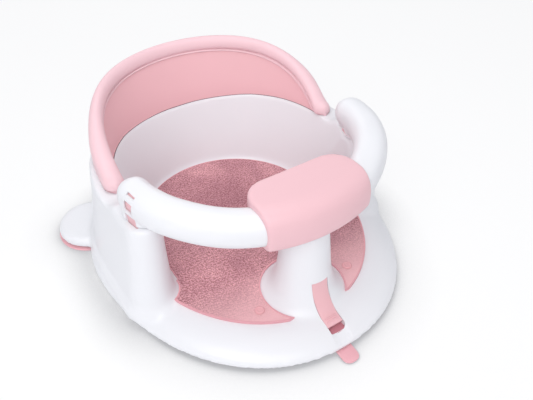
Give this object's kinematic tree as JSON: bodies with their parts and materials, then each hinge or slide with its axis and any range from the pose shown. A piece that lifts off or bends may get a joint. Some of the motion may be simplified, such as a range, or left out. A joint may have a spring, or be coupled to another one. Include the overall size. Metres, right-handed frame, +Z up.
{
  "type": "baby bath seat",
  "caption": "Bath seat for a baby: oval base with a horseshoe wall, padded backrest, lift-off guard bar with a soft pad, textured mat and suction cups.",
  "frame": {"origin": "on the surface that the cups stand on, under the middle of the overall box", "axes": "+X across the seat to the right in the front view, -Y to the front where the pommel and the pull tab are, +Z up"},
  "size_m": [0.366, 0.392, 0.185],
  "materials": {
    "white_plastic": "satin moulded polypropylene, faintly cool white",
    "mat_foam": "matte foam with a woven texture, dusty rose",
    "pink_soft": "soft-touch moulding, light pink",
    "pink_panel": "soft panel, deeper pink",
    "pink_pad": "soft foam skin, light pink",
    "pink_plastic": "satin moulded, pink",
    "cup_rubber": "smooth soft rubber, pink",
    "steel": "plain"
  },
  "bodies": {
    "seat": {"body_shell": "white_plastic", "seat_mat": "mat_foam", "mat_snap_left": "pink_plastic", "mat_snap_right": "pink_plastic", "backrest": "pink_soft", "backrest_panel": "pink_panel", "backrest_screws": "steel", "lever_pin": "steel", "suction_cup_rear_left": "cup_rubber", "suction_cup_rear_right": "cup_rubber", "suction_cup_front": "cup_rubber"},
    "bar": {"guard_bar": "white_plastic", "bar_pad": "pink_pad"},
    "left_latch": {"latch_left": "pink_plastic"},
    "right_latch": {"latch_right": "pink_plastic"},
    "lever": {"front_lever": "pink_plastic"}
  },
  "joints": [
    {"name": "bar_lift", "type": "slide", "parent": "seat", "child": "bar", "axis": [0, 0, 1], "range_m": [0, 0.12]},
    {"name": "latch_left_press", "type": "hinge", "parent": "bar", "child": "left_latch", "pos_m": [-0.13612, -0.03349, 0.1545], "axis": [0.186, -0.9825, 0], "range_deg": [0, 5], "stiffness_Nm_per_rad": 0.3, "springref_deg": -5.73},
    {"name": "latch_right_press", "type": "hinge", "parent": "bar", "child": "right_latch", "pos_m": [0.13612, -0.03349, 0.1545], "axis": [0.186, 0.9825, 0], "range_deg": [0, 5], "stiffness_Nm_per_rad": 0.3, "springref_deg": -5.73},
    {"name": "lever_turn", "type": "hinge", "parent": "seat", "child": "lever", "pos_m": [0, -0.1335, 0.051], "axis": [-1, 0, 0], "range_deg": [0, 35]}
  ]
}
